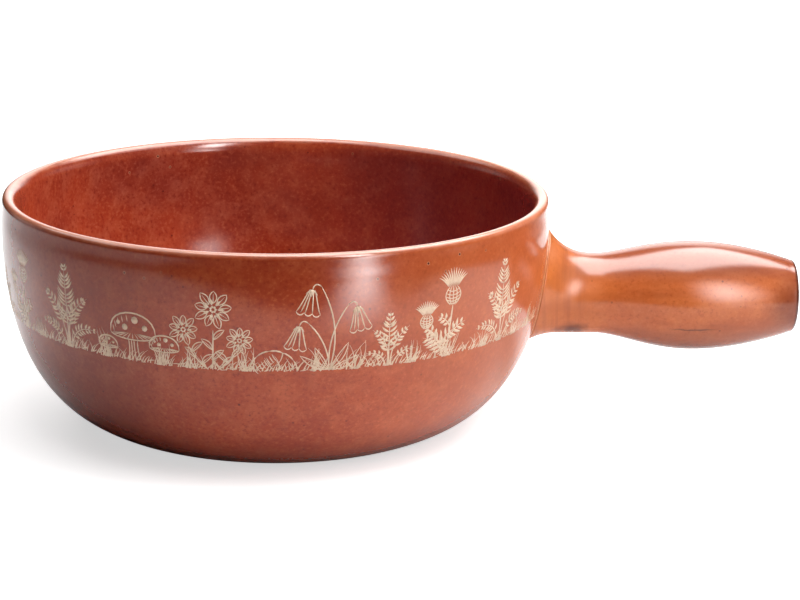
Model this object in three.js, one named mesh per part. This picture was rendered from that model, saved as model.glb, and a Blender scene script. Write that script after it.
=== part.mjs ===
// Fondue pot: a pressed stoneware bowl with a hollow cast handle that is luted to its wall.
// Millimetres, +Z up. The origin is the centre of the flat base, and the handle points along +X.

import * as THREE from "three";

// Bowl, outside
const HEIGHT = 97; // base to the top of the lip
const BELLY_RADIUS = 115; // the widest part of the wall
const BELLY_DROP = 13; // from the top of the lip down to the belly
const FOOT_RADIUS = 72; // the flat base
const FOOT_RISE = THREE.MathUtils.degToRad(16); // slope at which the wall leaves the base
const FOOT_SWEEP = 25; // how far the wall keeps that slope
const BELLY_SWEEP = 53; // how far below the belly the wall stays upright

// Bowl, lip and inside
const LIP_INSET = 0.4; // the lip is drawn in from the belly by this much
const LIP_THICKNESS = 6.2;
const LIP_INNER_ROUND = 2.2;
const LIP_FLAT = 1.8; // level strip between the lip's two roundings
const WALL = 6.5; // at the belly
const BASE = 8.5; // thickness of the floor
const FLOOR_RADIUS = 60; // the flat part of the floor
const FLOOR_SWEEP = 30; // how far the inside curve runs out from the floor
const INSIDE_SWEEP = 50; // how far below the belly the inside stays upright

// Handle
const HANDLE_DROP = 45; // from the top of the lip down to the handle's axis
const HANDLE_LENGTH = 106.5; // belly to the open end
const HANDLE_WALL = 5;
const NECK_RADIUS = 17.2;
const NECK_RISE = 0.8; // the neck sits this much above the grip's axis
const GRIP_RADIUS = 23.2;
const GRIP_SETBACK = 44; // fattest part of the grip, back from the open end
const END_RADIUS = 14.8;
const END_FLAT = 1.4; // level strip between the roundings of the open end
const SWELL_EASE = 0.75; // below 1, the grip swells sooner after the neck
const TAPER_EASE = 0.88; // below 1, the grip stays full for longer before the end

// Root of the handle: a flare that follows the wall, on a thin bed of slip
const FLARE_RADIUS = 22; // fillet between the neck and the wall
const FLARE_SPAN_TOP = THREE.MathUtils.degToRad(60); // how far the fillet turns above the neck
const FLARE_SPAN_UNDER = THREE.MathUtils.degToRad(30); // and below it
const FLARE_EDGE = 1; // thickness left at the flare's rim
const NECK_RUN = 0.5; // straight neck between the flare and the grip
const SLIP_BED = 1; // thickness of the slip between wall and flare
const CLEARANCE = 0.3; // between pieces that touch

// Facets
const BOWL_SEGMENTS = 72;
const WALL_STEPS = 12;
const LIP_STEPS = 4;
const RING_POINTS = 40;
const FLARE_STEPS = 6;
const GRIP_STEPS = 8;
const END_STEPS = 3;
const SEAT_STEPS = 4;

const bellyHeight = HEIGHT - BELLY_DROP;
const lipRadius = BELLY_RADIUS - LIP_INSET;
const lipOuterRound = LIP_THICKNESS - LIP_FLAT - LIP_INNER_ROUND;
const axisHeight = HEIGHT - HANDLE_DROP;
const seat = SLIP_BED + 2 * CLEARANCE;
const flareDepth = FLARE_RADIUS * Math.sin(FLARE_SPAN_TOP);
const neckStart = BELLY_RADIUS + seat + FLARE_EDGE + flareDepth + NECK_RUN;
const handleEnd = BELLY_RADIUS + HANDLE_LENGTH;
const endRound = (HANDLE_WALL - END_FLAT) / 2;
const gripMiddle = handleEnd - GRIP_SETBACK;

const point = (r, z) => new THREE.Vector2(r, z);

// The wall's half section: up from a foot to the belly, then up to the lip.
function wallCurves({ foot, footSweep, belly, bellySweep, lip, top }) {
  const shoulder = (top - bellyHeight) / 2;
  return [
    new THREE.CubicBezierCurve(
      foot,
      foot.clone().add(footSweep),
      point(belly, bellyHeight - bellySweep),
      point(belly, bellyHeight),
    ),
    new THREE.CubicBezierCurve(
      point(belly, bellyHeight),
      point(belly, bellyHeight + shoulder),
      point(lip, top - shoulder),
      point(lip, top),
    ),
  ];
}

const outerWall = wallCurves({
  foot: point(FOOT_RADIUS, 0),
  footSweep: point(Math.cos(FOOT_RISE), Math.sin(FOOT_RISE)).multiplyScalar(FOOT_SWEEP),
  belly: BELLY_RADIUS,
  bellySweep: BELLY_SWEEP,
  lip: lipRadius,
  top: HEIGHT - lipOuterRound,
});
const innerWall = wallCurves({
  foot: point(FLOOR_RADIUS, BASE),
  footSweep: point(FLOOR_SWEEP, 0),
  belly: BELLY_RADIUS - WALL,
  bellySweep: INSIDE_SWEEP,
  lip: lipRadius - LIP_THICKNESS,
  top: HEIGHT - LIP_INNER_ROUND,
});

// Outside radius of the bowl at a height, found on the wall's own curves.
function outerRadiusAt(z) {
  const curve = outerWall[z < bellyHeight ? 0 : 1];
  let low = 0;
  let high = 1;
  for (let halving = 0; halving < 40; halving++) {
    const middle = (low + high) / 2;
    if (curve.getPoint(middle).y < z) low = middle;
    else high = middle;
  }
  return curve.getPoint(low).x;
}

function lipArc(inset, round, from, to) {
  return new THREE.EllipseCurve(lipRadius - inset, HEIGHT - round, round, round, from, to);
}

function bowlGeometry() {
  const outerLip = lipArc(lipOuterRound, lipOuterRound, 0, Math.PI / 2);
  const innerLip = lipArc(LIP_THICKNESS - LIP_INNER_ROUND, LIP_INNER_ROUND, Math.PI / 2, Math.PI);
  const section = [
    point(0, 0),
    ...outerWall[0].getPoints(WALL_STEPS),
    ...outerWall[1].getPoints(LIP_STEPS).slice(1),
    ...outerLip.getPoints(LIP_STEPS).slice(1),
    ...innerLip.getPoints(LIP_STEPS),
    ...innerWall[1].getPoints(LIP_STEPS).reverse().slice(1),
    ...innerWall[0].getPoints(WALL_STEPS).reverse().slice(1),
    point(0, BASE),
  ];
  return new THREE.LatheGeometry(section, BOWL_SEGMENTS).rotateX(Math.PI / 2);
}

// Radius of the handle's outside at a distance from the bowl's axis: neck, grip and tapered end.
function handleRadiusAt(x) {
  if (x < gripMiddle) {
    const share = THREE.MathUtils.clamp((x - neckStart) / (gripMiddle - neckStart), 0, 1);
    const swell = (1 - Math.cos(Math.PI * share ** SWELL_EASE)) / 2;
    return THREE.MathUtils.lerp(NECK_RADIUS, GRIP_RADIUS, swell);
  }
  const share = (x - gripMiddle) / (handleEnd - gripMiddle);
  return THREE.MathUtils.lerp(END_RADIUS, GRIP_RADIUS, Math.cos((Math.PI / 2) * share) ** TAPER_EASE);
}

// The handle's centre line drops from the neck to the grip's axis.
function centreRiseAt(x) {
  return NECK_RISE * (1 - THREE.MathUtils.smoothstep(x, neckStart, gripMiddle));
}

// How far the root's fillet turns: most above the neck, least below it.
function flareSpanAt(angle) {
  return THREE.MathUtils.lerp(FLARE_SPAN_UNDER, FLARE_SPAN_TOP, (1 + Math.sin(angle)) / 2);
}

function flareRadiusAt(turn) {
  return NECK_RADIUS + FLARE_RADIUS * (1 - Math.cos(turn));
}

// A closed ring round the handle's axis, from a function of the angle that gives a point.
function ring(pointAt) {
  return Array.from({ length: RING_POINTS }, (_, i) => pointAt((2 * Math.PI * i) / RING_POINTS));
}

// A flat ring of one radius, square to the handle's axis.
function flatRing(x, radius) {
  const rise = centreRiseAt(x);
  return ring(
    (angle) => new THREE.Vector3(x, radius * Math.cos(angle), rise + radius * Math.sin(angle)),
  );
}

// A ring that keeps a distance from the bowl's wall. Both sizes may depend on the angle.
function wallRing(radiusAt, standOffAt) {
  return ring((angle) => {
    const y = radiusAt(angle) * Math.cos(angle);
    const z = NECK_RISE + radiusAt(angle) * Math.sin(angle);
    const wall = Math.sqrt(outerRadiusAt(axisHeight + z) ** 2 - y ** 2);
    return new THREE.Vector3(wall + standOffAt(angle), y, z);
  });
}

// Rings across the seat of the handle, from the bore out to the flare's rim.
function seatRings(standOff) {
  const bore = NECK_RADIUS - HANDLE_WALL;
  const rimAt = (angle) => flareRadiusAt(flareSpanAt(angle));
  return Array.from({ length: SEAT_STEPS + 1 }, (_, i) =>
    wallRing(
      (angle) => THREE.MathUtils.lerp(bore, rimAt(angle), i / SEAT_STEPS),
      () => standOff,
    ),
  );
}

// Skins a closed loop of rings: each ring is joined to the next, and the last to the first.
function skin(rings) {
  const index = [];
  const at = (row, column) => (row % rings.length) * RING_POINTS + (column % RING_POINTS);
  for (let row = 0; row < rings.length; row++) {
    for (let column = 0; column < RING_POINTS; column++) {
      const [a, b] = [at(row, column), at(row, column + 1)];
      const [c, d] = [at(row + 1, column), at(row + 1, column + 1)];
      index.push(a, b, d, a, d, c);
    }
  }
  const geometry = new THREE.BufferGeometry().setFromPoints(rings.flat());
  geometry.setIndex(index);
  geometry.computeVertexNormals();
  return geometry;
}

// The fillet from the flare's rim to the neck.
function flareRings() {
  return Array.from({ length: FLARE_STEPS + 1 }, (_, i) => {
    const turnAt = (angle) => flareSpanAt(angle) * (1 - i / FLARE_STEPS);
    const riseAt = (angle) => Math.sin(flareSpanAt(angle)) - Math.sin(turnAt(angle));
    return wallRing(
      (angle) => flareRadiusAt(turnAt(angle)),
      (angle) => seat + FLARE_EDGE + FLARE_RADIUS * riseAt(angle),
    );
  });
}

// Distances along the grip, from the neck to where the end starts to round over.
function gripStations() {
  const last = handleEnd - endRound;
  const towards = (from, to) =>
    Array.from({ length: GRIP_STEPS }, (_, i) => from + ((to - from) * i) / GRIP_STEPS);
  return [...towards(neckStart, gripMiddle), ...towards(gripMiddle, last), last];
}

// The rim of the open end: over the outer edge, then in over the edge of the bore.
function endRings() {
  const start = handleEnd - endRound;
  const outer = handleRadiusAt(start) - endRound;
  const inner = outer - END_FLAT;
  const turnAt = (step) => ((Math.PI / 2) * step) / END_STEPS;
  const rings = [];
  for (let step = 1; step <= END_STEPS; step++) {
    const turn = turnAt(step);
    rings.push(flatRing(start + endRound * Math.sin(turn), outer + endRound * Math.cos(turn)));
  }
  for (let step = 0; step < END_STEPS; step++) {
    const turn = turnAt(step);
    rings.push(flatRing(start + endRound * Math.cos(turn), inner - endRound * Math.sin(turn)));
  }
  return rings;
}

function handleGeometry() {
  const stations = gripStations();
  const outside = stations.map((x) => flatRing(x, handleRadiusAt(x)));
  const bore = stations.map((x) => flatRing(x, handleRadiusAt(x) - HANDLE_WALL));
  return skin([
    ...seatRings(seat),
    ...flareRings(),
    ...outside,
    ...endRings(),
    ...bore.reverse(),
  ]);
}

function slipGeometry() {
  return skin([...seatRings(CLEARANCE), ...seatRings(CLEARANCE + SLIP_BED).reverse()]);
}

function mesh(name, geometry, color, roughness) {
  const material = new THREE.MeshStandardMaterial({ color, roughness, metalness: 0 });
  const made = new THREE.Mesh(geometry, material);
  made.name = name;
  return made;
}

const handleAssembly = new THREE.Group();
handleAssembly.position.z = axisHeight;
handleAssembly.add(
  mesh("handle", handleGeometry(), "#b5633c", 0.18),
  mesh("luting_slip", slipGeometry(), "#c98a58", 0.35),
);

const pot = new THREE.Group();
pot.add(mesh("bowl", bowlGeometry(), "#94452c", 0.15), handleAssembly);

export default pot;
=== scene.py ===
# %% [markdown]
# # A glazed stoneware fondue pot
#
# The CAD model gives three plain solids: the bowl, the handle and the bed of slip that joins them.
# This lesson dresses them. Each solid is replaced by a finer mesh of the same size, a printed frieze
# of mountain plants is laid on the wall, and everything gets a fired glaze.
#
# The frame is loaded first, and its box is kept: the pot's overall sizes are read from it.

import math
import random
from bisect import bisect_left

import bmesh
import bpy
from mathutils import Matrix, Vector
from mathutils.geometry import interpolate_bezier


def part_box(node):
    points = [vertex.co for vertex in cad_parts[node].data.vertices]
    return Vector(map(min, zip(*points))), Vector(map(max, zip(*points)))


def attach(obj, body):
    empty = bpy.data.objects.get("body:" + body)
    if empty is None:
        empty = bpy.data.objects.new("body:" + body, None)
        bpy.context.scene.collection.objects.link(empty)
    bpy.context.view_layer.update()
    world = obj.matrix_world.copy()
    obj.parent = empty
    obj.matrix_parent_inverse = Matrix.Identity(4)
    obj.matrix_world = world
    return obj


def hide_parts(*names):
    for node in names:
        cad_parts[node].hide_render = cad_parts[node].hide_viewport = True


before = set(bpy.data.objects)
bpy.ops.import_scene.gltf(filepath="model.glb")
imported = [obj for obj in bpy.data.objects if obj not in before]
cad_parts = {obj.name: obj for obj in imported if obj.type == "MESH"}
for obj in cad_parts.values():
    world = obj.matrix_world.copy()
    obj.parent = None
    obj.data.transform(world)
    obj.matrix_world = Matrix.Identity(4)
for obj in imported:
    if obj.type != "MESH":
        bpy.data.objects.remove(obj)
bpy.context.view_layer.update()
MM = 0.001

# %% [markdown]
# ## Where the camera stands
#
# A camera can be placed by eye, but here it was fitted to the pot's outline in the photograph: the
# ellipse of the lip gives the height, and the handle gives the turn. It looks at a point between the
# bowl and the handle with a long lens, and it is tilted by less than a degree, as a hand-set camera is.

# %% Camera
AIM = Vector((52.6, -1.8, 49.5)) * MM
CAMERA_DISTANCE = 1024.9 * MM
CAMERA_TURN = math.radians(-2.0)
CAMERA_HEIGHT = math.radians(15.1)
CAMERA_TILT = math.radians(0.84)
LENS = 108.0
SENSOR_WIDTH = 36.0

camera = bpy.data.objects.new("camera", bpy.data.cameras.new("camera"))
camera.data.lens = LENS
camera.data.sensor_width = SENSOR_WIDTH
camera.matrix_world = (
    Matrix.Translation(AIM)
    @ Matrix.Rotation(CAMERA_TURN, 4, "Z")
    @ Matrix.Rotation(math.pi / 2 - CAMERA_HEIGHT, 4, "X")
    @ Matrix.Rotation(CAMERA_TILT, 4, "Z")
    @ Matrix.Translation((0, 0, CAMERA_DISTANCE))
)
bpy.context.scene.collection.objects.link(camera)
bpy.context.scene.camera = camera
print("camera stands at", [round(c, 3) for c in camera.matrix_world.translation])

# %% [markdown]
# ## The wall's section
#
# The wall is the shape that everything else sits on: the handle's root is cut to it and the frieze
# follows it. So its half section comes first, as two Bezier curves: from the foot up to the belly, and
# from the belly up to the lip. The overall sizes are read from the CAD box, and the rest are the sizes
# that the pot was designed with.

# %% Wall curves
BELLY_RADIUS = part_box("bowl")[1].x
POT_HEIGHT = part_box("bowl")[1].z
BELLY_HEIGHT = POT_HEIGHT - 13 * MM
LIP_RADIUS = BELLY_RADIUS - 0.4 * MM
LIP_THICKNESS = 6.2 * MM
LIP_OUTER_ROUND = 2.2 * MM
LIP_INNER_WIDTH = 3.6 * MM
LIP_INNER_DROP = 6 * MM
FOOT_RADIUS = 72 * MM
FOOT_ROUND = 1.2 * MM
FOOT_RISE = math.radians(16)
WALL = 6.5 * MM
FLOOR_HEIGHT = 8.5 * MM
FLOOR_RADIUS = 60 * MM
FLOOR_SWEEP = 30 * MM
OUTER_BELLY_SWEEP = 53 * MM
INNER_BELLY_SWEEP = 50 * MM
OUTER_STEPS = 60
INNER_STEPS = 48
HANDLE_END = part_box("handle")[1].x


def section_point(radius, height):
    """A point of the half section, in the plane that the wall is spun from."""
    return Vector((radius, 0, height))


def wall_curve(foot, foot_sweep, belly, belly_sweep, lip, top, steps):
    """Points up one side of the wall: foot to belly, then belly to lip."""
    shoulder = (top - BELLY_HEIGHT) / 2
    lower = interpolate_bezier(
        foot,
        foot + foot_sweep,
        section_point(belly, BELLY_HEIGHT - belly_sweep),
        section_point(belly, BELLY_HEIGHT),
        steps,
    )
    upper = interpolate_bezier(
        section_point(belly, BELLY_HEIGHT),
        section_point(belly, BELLY_HEIGHT + shoulder),
        section_point(lip, top - shoulder),
        section_point(lip, top),
        steps // 3,
    )
    return lower + upper[1:]


FOOT_SWEEP = section_point(math.cos(FOOT_RISE), math.sin(FOOT_RISE)) * 25 * MM
outer_wall = wall_curve(
    section_point(FOOT_RADIUS, 0), FOOT_SWEEP, BELLY_RADIUS, OUTER_BELLY_SWEEP,
    LIP_RADIUS, POT_HEIGHT - LIP_OUTER_ROUND, OUTER_STEPS,
)
inner_wall = wall_curve(
    section_point(FLOOR_RADIUS, FLOOR_HEIGHT), section_point(FLOOR_SWEEP, 0),
    BELLY_RADIUS - WALL, INNER_BELLY_SWEEP,
    LIP_RADIUS - LIP_THICKNESS, POT_HEIGHT - LIP_INNER_DROP, INNER_STEPS,
)
wall_heights = [p.z for p in outer_wall]


def wall_radius(height):
    """Outside radius of the bowl at a height, read between the points of the wall's curve."""
    above = min(max(bisect_left(wall_heights, height), 1), len(outer_wall) - 1)
    low, high = outer_wall[above - 1], outer_wall[above]
    share = min(max((height - low.z) / (high.z - low.z), 0), 1)
    return low.x + (high.x - low.x) * share


print("wall radius in mm at 50 and 88 mm up:", [round(wall_radius(z * MM) / MM, 1) for z in (50, 88)])

# %% [markdown]
# ## Small helpers for nodes
#
# A procedural material is a chain of nodes. Making each one takes several lines in plain Python, so
# these helpers make a node, set its values and link its inputs in one call. A socket knows its tree, so
# most of them need not be told where to put the node.

# %% Node helpers
def add_node(tree, kind, inputs=(), **settings):
    """Makes a node. An input is set to a value, or linked when it is another node's socket."""
    node = tree.nodes.new("ShaderNode" + kind)
    for name, value in settings.items():
        setattr(node, name, value)
    for name, value in dict(inputs).items():
        if isinstance(value, bpy.types.NodeSocket):
            tree.links.new(value, node.inputs[name])
        else:
            node.inputs[name].default_value = value
    return node


def tree_of(*values):
    """The node tree of the first socket among some values."""
    return next(value.id_data for value in values if isinstance(value, bpy.types.NodeSocket))


def mask(value, low, high, strength=1.0):
    """A soft step: 0 below low, the given strength above high."""
    levels = {"Value": value, "From Min": low, "From Max": high, "To Max": strength}
    return add_node(value.id_data, "MapRange", levels, interpolation_type="SMOOTHSTEP").outputs["Result"]


def ramp(value, low, high, first, last):
    """Goes evenly from first to last as the value goes from low to high."""
    levels = {"Value": value, "From Min": low, "From Max": high, "To Min": first, "To Max": last}
    return add_node(value.id_data, "MapRange", levels).outputs["Result"]


def noise(place, scale, detail=2.0, roughness=0.5):
    levels = {"Vector": place, "Scale": scale, "Detail": detail, "Roughness": roughness}
    return add_node(place.id_data, "TexNoise", levels).outputs["Fac"]


def math_node(operation, first, second=0.0):
    return add_node(tree_of(first, second), "Math", {0: first, 1: second}, operation=operation).outputs[0]


def plus(first, second):
    return math_node("ADD", first, second)


def times(product, *others):
    """The product of two or more values or masks."""
    for other in others:
        product = math_node("MULTIPLY", product, other)
    return product


def mix_colour(share, first, second, blend="MIX"):
    levels = {0: share, 6: first, 7: second}
    return add_node(share.id_data, "Mix", levels, data_type="RGBA", blend_type=blend).outputs[2]


def colour(red, green, blue):
    """A colour as a paint program gives it, 0 to 255, made linear for the shader."""
    def linear(level):
        level /= 255
        return level / 12.92 if level <= 0.04045 else ((level + 0.055) / 1.055) ** 2.4
    return (linear(red), linear(green), linear(blue), 1.0)


print("node helpers are ready")

# %% [markdown]
# ## A fired glaze
#
# A rust glaze is never one colour. It clouds where it lies thicker, it is mottled at the scale of a few
# millimetres, and grains of iron burn through as dark specks. Its skin is smooth but not flat: it
# waves a little, with a faint orange peel. All glazed pieces share this, so it is a node group. It
# reads Object coordinates, which suit a solid shape that has no unwrapped skin.

# %% Glaze node group
GLAZE_TINTS = ("Body", "Thin", "Pooled", "Speck")


def make_fired_glaze():
    group = bpy.data.node_groups.new("fired_glaze", "ShaderNodeTree")
    for name in GLAZE_TINTS:
        group.interface.new_socket(name, in_out="INPUT", socket_type="NodeSocketColor")
    group.interface.new_socket("Colour", in_out="OUTPUT", socket_type="NodeSocketColor")
    group.interface.new_socket("Roughness", in_out="OUTPUT", socket_type="NodeSocketFloat")
    group.interface.new_socket("Height", in_out="OUTPUT", socket_type="NodeSocketFloat")
    given = group.nodes.new("NodeGroupInput").outputs
    result = group.nodes.new("NodeGroupOutput").inputs
    place = add_node(group, "TexCoord").outputs["Object"]

    clouds = noise(place, 15, 3)
    mottle = noise(place, 110, 3)
    grain = noise(place, 620, 3, 0.65)
    body = mix_colour(mask(clouds, 0.4, 0.72, 0.5), given["Body"], given["Pooled"])
    body = mix_colour(mask(mottle, 0.4, 0.75, 0.4), body, given["Thin"])
    body = mix_colour(mask(grain, 0.5, 0.75, 0.6), body, given["Thin"])
    body = mix_colour(mask(grain, 0.48, 0.28, 0.7), body, given["Pooled"])

    cells = add_node(group, "TexVoronoi", {"Vector": place, "Scale": 240}).outputs
    chosen = add_node(group, "SeparateColor", {0: cells["Color"]}).outputs[0]
    near = mask(cells["Distance"], 0.16, 0.06)
    specks = times(near, mask(chosen, 0.86, 0.96, 0.85))
    group.links.new(mix_colour(specks, body, given["Speck"]), result["Colour"])

    group.links.new(ramp(mottle, 0, 1, 0.1, 0.2), result["Roughness"])

    waves = noise(place, 34, 1)
    peel = times(noise(place, 420, 1), 0.05)
    pits = times(specks, -0.04)
    group.links.new(plus(plus(waves, peel), pits), result["Height"])
    return group


fired_glaze = make_fired_glaze()
sockets = fired_glaze.interface.items_tree
print("glaze group outputs:", [socket.name for socket in sockets if socket.in_out == "OUTPUT"])

# %% [markdown]
# ## Finishes
#
# Each finish is one material with its own Principled shader and the shared glaze. A pot's marks could be
# painted on a texture. Masks made from position and noise were chosen, because they need no unwrapped
# skin and stay sharp at any distance. Each mask says where one coat of colour lies, and the coats go on
# one over another, as they do in a pottery.

# %% Tools for finishes
GLAZE_IOR = 1.54
GLAZE_BUMP = 0.22
BUMP_DEPTH = 1.0 * MM


def glazed_material(name, *tints):
    """A material with the shared glaze linked in. Returns it with its tree, shader and glaze node."""
    material = bpy.data.materials.new(name)
    material.use_nodes = True
    tree = material.node_tree
    shader = tree.nodes["Principled BSDF"]
    shader.inputs["IOR"].default_value = GLAZE_IOR
    glaze = add_node(tree, "Group", node_tree=fired_glaze)
    for socket, tint in zip(GLAZE_TINTS, tints):
        glaze.inputs[socket].default_value = colour(*tint)
    tree.links.new(glaze.outputs["Colour"], shader.inputs["Base Color"])
    tree.links.new(glaze.outputs["Roughness"], shader.inputs["Roughness"])
    levels = {"Strength": GLAZE_BUMP, "Distance": BUMP_DEPTH, "Height": glaze.outputs["Height"]}
    tree.links.new(add_node(tree, "Bump", levels).outputs["Normal"], shader.inputs["Normal"])
    return material, tree, shader, glaze


def object_place(tree):
    """A surface point's place, and its X, Y and Z one by one."""
    place = add_node(tree, "TexCoord").outputs["Object"]
    return place, *add_node(tree, "SeparateXYZ", {0: place}).outputs


def uneven(value, place, scale, detail, reach):
    """A value with noise added, so that an edge drawn from it wanders by up to the reach."""
    return plus(value, times(noise(place, scale, detail), reach))


def paint(finish, coats):
    """Lays coats of colour over a finish, each through its own mask."""
    for where, tint in coats:
        finish = mix_colour(where, finish, colour(*tint))
    return finish


print("tools for finishes are ready")

# %% [markdown]
# The bowl's glaze is a rust brown, deeper and redder inside where it lies thick; higher up the inside
# that deepening is also painted shade, with a painted bluish veil, and the inside's right end is painted
# dark as shade. Outside, light and shade are painted in as well: a gold tone towards the handle, where
# the key light falls, and painted shade on the left, deepest low down. It hangs dark under the lip and
# breaks to a paler orange over it. A few bubbles have burst there and left pinholes: cells of a Voronoi
# pattern on the unrolled wall, of which a few are chosen, with a painted highlight on their rims and
# painted shade in their holes. Low down the wall is painted darker as shade, and the foot is left bare
# so that it doesn't stick to the kiln shelf.

# %% Bowl glaze
DEEP_GLAZE_SHADE_AND_VEIL = (0.4, 0.45, 1.15, 1)
PINHOLE_CELLS_PER_METRE = 130
BARE_ROUGHNESS = 0.85


def pinholes(tree, place, across, side, height):
    """Masks for burst bubbles under the lip: a pale rim, painted as a highlight, and a dark hole, painted
    shade.
    """
    round_wall = times(math_node("ARCTAN2", side, across), BELLY_RADIUS)
    unrolled = add_node(tree, "CombineXYZ", {"X": round_wall, "Y": height}).outputs[0]
    spread = {"Vector": unrolled, "Scale": PINHOLE_CELLS_PER_METRE}
    cells = add_node(tree, "TexVoronoi", spread, voronoi_dimensions="2D").outputs
    chosen = mask(add_node(tree, "SeparateColor", {0: cells["Color"]}).outputs[0], 0.6, 0.62)
    clustered = mask(noise(place, 24, 1), 0.5, 0.56)
    under_lip = mask(height, POT_HEIGHT - 14 * MM, POT_HEIGHT - 9 * MM)
    off_the_lip = mask(height, POT_HEIGHT - 4 * MM, POT_HEIGHT - 5 * MM)
    few = times(clustered, under_lip, off_the_lip, chosen)
    # The pale rim is a painted highlight and the dark hole painted shade.
    rim = times(mask(cells["Distance"], 0.11, 0.07, 0.6), few)
    hole = times(mask(cells["Distance"], 0.07, 0.045), few)
    return rim, hole


def make_bowl_glaze():
    material, tree, shader, glaze = glazed_material(
        "rust_glaze", (184, 73, 38), (214, 108, 62), (142, 46, 24), (70, 26, 18),
    )
    place, across, side, height = object_place(tree)
    inside = add_node(tree, "Attribute", attribute_name="inside").outputs["Fac"]
    outside = math_node("SUBTRACT", 1.0, inside)

    # Painted light: a gold tone towards the handle, where the key light falls; painted shade on the left,
    # deepest low down.
    to_key_side = uneven(plus(across, 35 * MM), place, 18, 3, -70 * MM)
    key_side_light = times(mask(to_key_side, -10 * MM, 120 * MM, 0.55), outside)
    painted_left_shade = times(mask(to_key_side, 0, -110 * MM, 0.45), outside)
    left_shade_zone = times(mask(to_key_side, 30 * MM, -90 * MM), outside)
    shaded = times(left_shade_zone, mask(height, 62 * MM, 12 * MM, 0.8))
    finish = paint(glaze.outputs["Colour"], (
        (key_side_light, (204, 116, 66)),
        (painted_left_shade, (118, 46, 32)),
        (shaded, (98, 36, 28)),
    ))

    # Inside: deeper where the glaze lies thick, more so up the side as painted shade; the tint's blue is a
    # painted veil.
    thick = ramp(noise(place, 26, 4), 0.35, 0.65, 0.35, 0.75)
    up_the_side = ramp(height, 38 * MM, 70 * MM, 0.4, 1.0)
    finish = mix_colour(times(thick, up_the_side, inside), finish, DEEP_GLAZE_SHADE_AND_VEIL, "MULTIPLY")

    # Painted shade: the inside's right end faces away from the key light; its purple is a painted veil.
    right_inside_shade = times(mask(across, -10 * MM, 95 * MM, 0.45), inside)
    hung = uneven(height, place, 40, 3, 16 * MM)
    away = math_node("SUBTRACT", outside, times(key_side_light, 1.4))
    gathered = times(mask(hung, POT_HEIGHT - 22 * MM, POT_HEIGHT + 4 * MM, 0.42), away)
    ragged = uneven(height, place, 90, 2, 2.4 * MM)
    breaking = mask(ragged, POT_HEIGHT - 1.0 * MM, POT_HEIGHT + 1.4 * MM, 0.65)
    rim, hole = pinholes(tree, place, across, side, height)
    # Painted shade: darker low down, near the foot, where the floor around it lies in the pot's shadow.
    low_wall_shade = mask(ragged, 26 * MM, 6 * MM, 0.55)
    finish = paint(finish, (
        (right_inside_shade, (92, 29, 64)),
        (gathered, (126, 43, 24)),
        (breaking, (214, 142, 110)),
        (rim, (214, 150, 112)),
        (hole, (66, 30, 24)),
        (low_wall_shade, (118, 44, 30)),
    ))

    bare_foot = mask(ragged, 2.4 * MM, 2.0 * MM)
    clay = mix_colour(noise(place, 700, 3), colour(178, 124, 88), colour(206, 156, 116))
    tree.links.new(mix_colour(bare_foot, finish, clay), shader.inputs["Base Color"])
    rough = add_node(tree, "Mix", {0: bare_foot, 2: glaze.outputs["Roughness"], 3: BARE_ROUGHNESS})
    tree.links.new(rough.outputs[0], shader.inputs["Roughness"])
    return material


bowl_glaze = make_bowl_glaze()
print(bowl_glaze.name, "has", len(bowl_glaze.node_tree.nodes), "nodes")

# %% [markdown]
# The handle's glaze is laid thinner, so more of the orange body shows, with brush streaks along the grip
# and wipe marks at the root. It is painted browner along the top and the underside, as painted shade, and
# it has a dark pool under the neck and a fine crease on the grip. It turns darker towards the end, with a
# dark blot near it and a dark band round the end's rim.

# %% Handle glaze
BRUSH_SCALE = (18, 130, 130)
WIPE_SCALE_OUT = 330
WIPE_SCALE_UP = 24
POOL_CENTRE = Vector((125, -12, 38)) * MM
END_BLOT_CENTRE = Vector((HANDLE_END - 3 * MM, -16 * MM, 50 * MM))
CREASE_MIDDLE = 176 * MM
CREASE_HEIGHT = 41.4 * MM
CREASE_BEND = 6.0
GRIP_EXTRA_ROUGHNESS = 0.03
ROOT_ROUGHNESS = 0.25


def blot(place, centre, edge, core, strength):
    """A mask for a ragged round blot."""
    levels = {0: place, 1: centre}
    reach = add_node(place.id_data, "VectorMath", levels, operation="DISTANCE").outputs["Value"]
    return mask(uneven(reach, place, 120, 3, 8 * MM), edge, core, strength)


def grip_crease(place, along, side, height):
    """A mask for a thin wavy line on the near side of the grip, bent up at both ends."""
    from_middle = math_node("SUBTRACT", along, CREASE_MIDDLE)
    bend = times(from_middle, from_middle, CREASE_BEND)
    line = uneven(plus(bend, CREASE_HEIGHT), place, 260, 2, 1.6 * MM)
    off_line = math_node("ABSOLUTE", math_node("SUBTRACT", height, line))
    thin = mask(off_line, 0.6 * MM, 0.1 * MM, 0.75)
    short = mask(math_node("ABSOLUTE", from_middle), 12 * MM, 4 * MM)
    return times(thin, short, mask(side, 1 * MM, -1 * MM))


def wipe_marks(tree, along, side, height):
    """A mask for the marks that a wet sponge leaves round the root."""
    level = add_node(tree, "CombineXYZ", {"X": along, "Y": side}).outputs[0]
    from_axis = add_node(tree, "VectorMath", {0: level}, operation="LENGTH").outputs["Value"]
    out, up = times(from_axis, WIPE_SCALE_OUT), times(height, WIPE_SCALE_UP)
    wiped = add_node(tree, "CombineXYZ", {"X": out, "Z": up}).outputs[0]
    near_wall = mask(from_axis, 138 * MM, 122 * MM)
    return times(mask(noise(wiped, 1, 3), 0.42, 0.7, 0.45), near_wall)


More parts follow.
